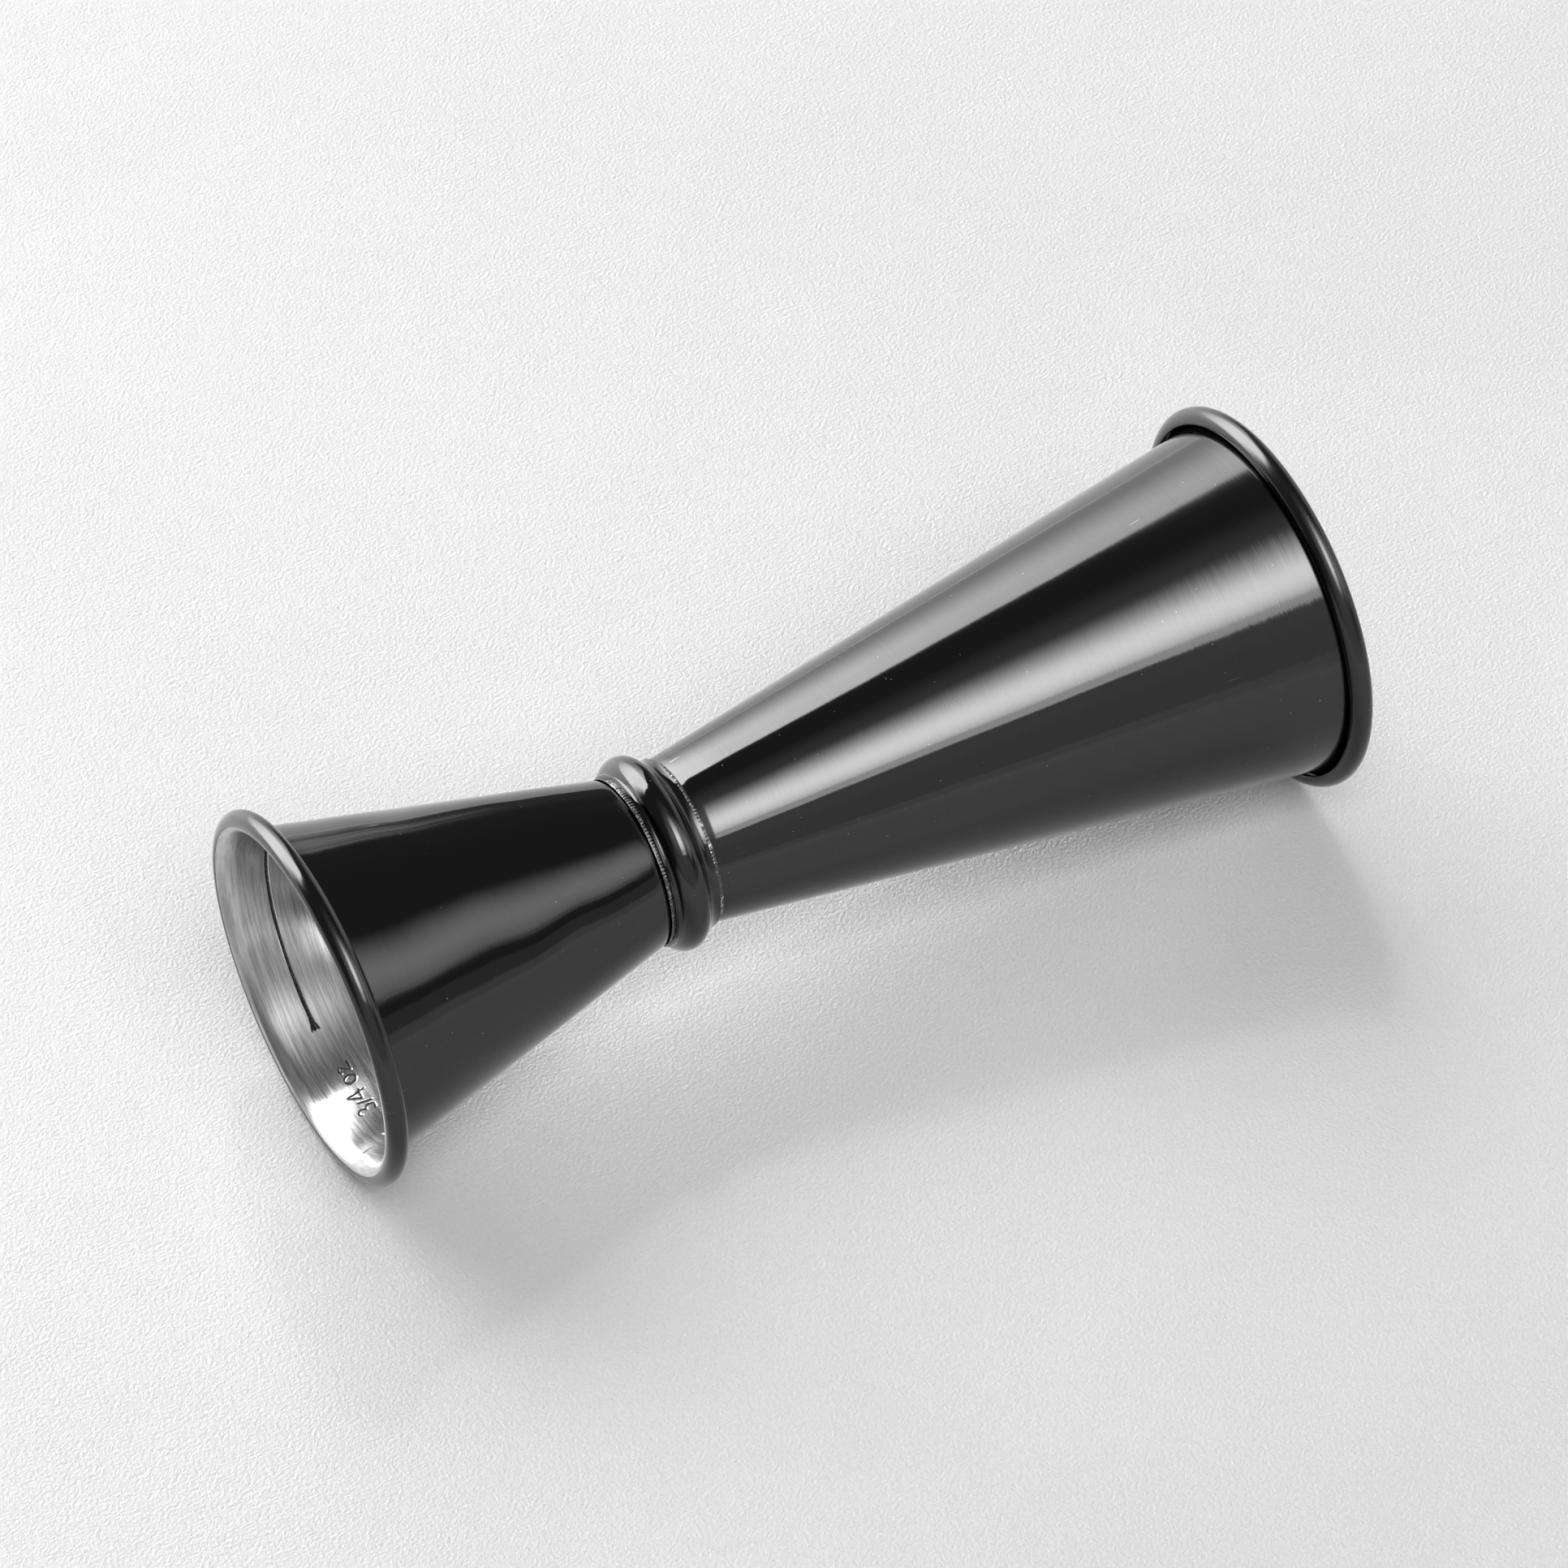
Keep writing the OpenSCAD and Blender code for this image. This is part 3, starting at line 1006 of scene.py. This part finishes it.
def before(graph, given, place, soft):
    """From 1 before a place to 0 after it."""
    return graph.ramp(given, place + soft, place - soft)


def window_panel(graph, way, sway):
    """Window behind the jigger in a narrow and a wide layer, both dimmer downwards, with cut corners."""
    across, up, ahead = sighted(graph, way, azimuth=108, elevation=0)
    lift = graph.ramp(up - across * 0.7, start=-0.4, end=0.53)
    narrow = before(graph, across, 0.5, 0.12) * (0.1 + 0.9 * lift)
    notch = after(graph, across, 1.02, 0.05) * before(graph, up, 0.17, 0.03)
    wide = before(graph, across + sway * 0.6, 1.21, 0.03) * (1 - notch)
    wide = wide * before(graph, across - up * 0.45 + sway * 0.3, 0.99, 0.015) * (0.22 + 0.78 * lift)
    top = before(graph, up, 1.7, 0.05)
    top = top * before(graph, up - across * 0.95, 1.72, 0.05)
    top = top * before(graph, up + across * 1.5, 2.41, 0.05)
    return after(graph, across, -0.62, 0.25) * (narrow + wide) * WINDOW_SHARE * top * ahead


def bounce_panel(graph, way):
    """Bounce board over the jigger: sharp at its low edge, fading upwards, with a dim ledge below."""
    across, up, ahead = sighted(graph, way, azimuth=-95, elevation=52)
    sides = before(graph, across, 0.07, 0.035) + 0.08 * before(graph, across, 0.8, 0.3)
    sides = sides * after(graph, across, -0.42, 0.2) * ahead
    fade = graph.ramp(up, start=-0.427, end=0.22) * graph.ramp(up, start=0.607, end=-0.624)
    board = after(graph, up, -0.205, 0.012) * fade
    ledge = after(graph, up, -0.318, 0.008) * before(graph, up, -0.205, 0.008)
    return sides * (board * BOUNCE_SHARE + ledge * LEDGE_SHARE)


def spot_panel(graph, way, sway):
    """Soft oval of light to one side, cut off below, and a dim field under it."""
    across, up, ahead = sighted(graph, way, azimuth=-37, elevation=33)
    from_middle = ((across / 0.44) ** 2 + (up / 0.67) ** 2) ** 0.5
    oval = graph.ramp(from_middle, start=1, end=0) * after(graph, up + sway, -0.28, 0.02)
    field = before(graph, up, -0.445, 0.008) * before(graph, across, 0.6, 0.3)
    return (oval * OVAL_LEVEL + field * FIELD_LEVEL) * ahead


def room_walls(graph, way):
    """The dim room: a glow overhead, a low wall in front and one past the large mouth."""
    overhead = graph.ramp(graph.dot(way, facing(radians(-90), radians(60))), start=0.73, end=1.0)
    across, up, ahead = sighted(graph, way, azimuth=-110, elevation=5)
    front = after(graph, across, -1.2, 0.5) * before(graph, across, 0.8, 0.35)
    front = front * before(graph, up, 0.55, 0.25) * ahead
    across, up, ahead = sighted(graph, way, azimuth=6, elevation=8)
    past_mouth = before(graph, abs(across), 0.7, 0.25) * before(graph, up, 0.42, 0.2) * ahead
    walls = front * FRONT_LEVEL + past_mouth * PAST_MOUTH_LEVEL
    return overhead * OVERHEAD_LEVEL + walls + DIM_LEVEL


def studio_world(stage):
    """World: pale where the camera sees it, and a dim room with its lit panels where the metal does."""
    world = bpy.data.worlds.new("studio")
    world.use_nodes = True
    graph = Graph(world.node_tree)
    way = graph.value("ShaderNodeTexCoord", None, None, "Generated")
    # Fine unevenness that frays the edges of the panels
    sway = (graph.noise(way, scale=60.0, detail=1.0) - 0.5) * 0.4
    lamps = window_panel(graph, way, sway) + bounce_panel(graph, way)
    seen = lamps * stage.reflected_level + spot_panel(graph, way, sway) + room_walls(graph, way)

    path = graph.node("ShaderNodeLightPath")
    camera = Value(graph, path.outputs["Is Camera Ray"])
    diffuse = Value(graph, path.outputs["Is Diffuse Ray"])
    glossy = (1 - camera) * (1 - diffuse) * seen
    strength = glossy + camera * BACKDROP_LEVEL + diffuse * stage.room_level
    background = graph.value("ShaderNodeBackground", None, {"Color": (1, 1, 1, 1), "Strength": strength})
    graph.node("ShaderNodeOutputWorld", None, {"Surface": background})
    world.cycles.sampling_method = "NONE"
    bpy.context.scene.world = world


def area_lamp(name, azimuth, elevation, distance, width, height, given, spread):
    """Rectangular lamp aimed at the jigger that lights a level table by the given level.

    The side it stands on is in degrees. spread makes up for what a wide lamp loses towards its edges."""
    lamp = bpy.data.lights.new(name, "AREA")
    lamp.shape = "RECTANGLE"
    lamp.size = width
    lamp.size_y = height
    back = facing(radians(azimuth), radians(elevation))
    # The table gets power / (pi * distance ** 2) from straight above, and shows that light over pi
    lamp.energy = given * pi * pi * distance * distance / back.z * spread
    holder = bpy.data.objects.new(name, lamp)
    bpy.context.scene.collection.objects.link(holder)
    holder.location = CAD_CENTRE + back * distance
    holder.rotation_mode = "QUATERNION"
    holder.rotation_quaternion = (-back).to_track_quat("-Z", "Y")
    holder.visible_glossy = False
    holder.visible_camera = False


class JIGGER_OT_stage(bpy.types.Operator):
    """Set up the table, the lamps and the camera"""

    bl_idname = "jigger.stage"
    bl_label = "Stage"

    def execute(self, context):
        stage = settings().stage
        sheet = bmesh.new()
        bmesh.ops.create_grid(sheet, x_segments=8, y_segments=8, size=TABLE_HALF)
        mesh = bpy.data.meshes.new("table_top")
        sheet.to_mesh(mesh)
        sheet.free()
        mesh.materials.append(table_material(stage))
        table = bpy.data.objects.new("table_top", mesh)
        context.scene.collection.objects.link(table)
        studio_world(stage)
        area_lamp(
            "window_lamp", azimuth=97, elevation=42.7, distance=2.2,
            width=2.1, height=1.4, given=stage.window_level, spread=1.12,
        )
        area_lamp(
            "sill_lamp", azimuth=95, elevation=7, distance=2.2,
            width=2.4, height=0.5, given=stage.sill_level, spread=1.1,
        )
        area_lamp(
            "bounce_lamp", azimuth=-101, elevation=53, distance=2.0,
            width=1.3, height=1.0, given=stage.bounce_level, spread=1.05,
        )
        area_lamp(
            "spot_lamp", azimuth=65.6, elevation=52.5, distance=3.4,
            width=0.26, height=0.26, given=stage.spot_level, spread=1.0,
        )
        self.camera(stage)
        context.scene.view_settings.view_transform = "Standard"
        return {"FINISHED"}

    def camera(self, stage):
        """Camera that looks at the aim point from its azimuth and elevation."""
        lens = bpy.data.cameras.new("camera")
        lens.lens = stage.lens
        lens.sensor_width = 36
        lens.clip_start = 0.01
        lens.clip_end = 50
        holder = bpy.data.objects.new("camera", lens)
        bpy.context.scene.collection.objects.link(holder)
        back = facing(stage.azimuth - pi / 2, stage.elevation)
        holder.location = CAD_CENTRE + Vector(stage.aim) + back * stage.distance
        holder.rotation_mode = "QUATERNION"
        level_view = (-back).to_track_quat("-Z", "Y")
        holder.rotation_quaternion = level_view @ Quaternion((0, 0, 1), stage.roll)
        bpy.context.scene.camera = holder


# ---------------------------------------------------------------- add-on


class JIGGER_PT_panel(bpy.types.Panel):
    """Buttons for the jigger's pieces and its stage"""

    bl_idname = "JIGGER_PT_panel"
    bl_label = "Bar jigger"
    bl_space_type = "VIEW_3D"
    bl_region_type = "UI"
    bl_category = "Jigger"

    def draw(self, context):
        for step in STEPS:
            self.layout.operator(step.bl_idname)


STEPS = (
    JIGGER_OT_large_cup,
    JIGGER_OT_small_cup,
    JIGGER_OT_waist_ring,
    JIGGER_OT_welds,
    JIGGER_OT_stage,
)
CLASSES = (CupSizes, JiggerSizes, JiggerFinish, JiggerStage, JiggerSettings, *STEPS, JIGGER_PT_panel)


def register():
    for made in CLASSES:
        bpy.utils.register_class(made)
    bpy.types.Scene.jigger = bpy.props.PointerProperty(
        type=JiggerSettings, name="Jigger", description="Settings of the bar jigger",
    )


def unregister():
    del bpy.types.Scene.jigger
    for made in reversed(CLASSES):
        bpy.utils.unregister_class(made)


def main():
    """Registers the add-on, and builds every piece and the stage."""
    register()
    for name, size in SMALL_CUP.items():
        setattr(settings().sizes.small, name, size)
    bpy.ops.jigger.large_cup()
    bpy.ops.jigger.small_cup()
    bpy.ops.jigger.waist_ring()
    bpy.ops.jigger.welds()
    bpy.ops.jigger.stage()


if __name__ == "__main__":
    main()
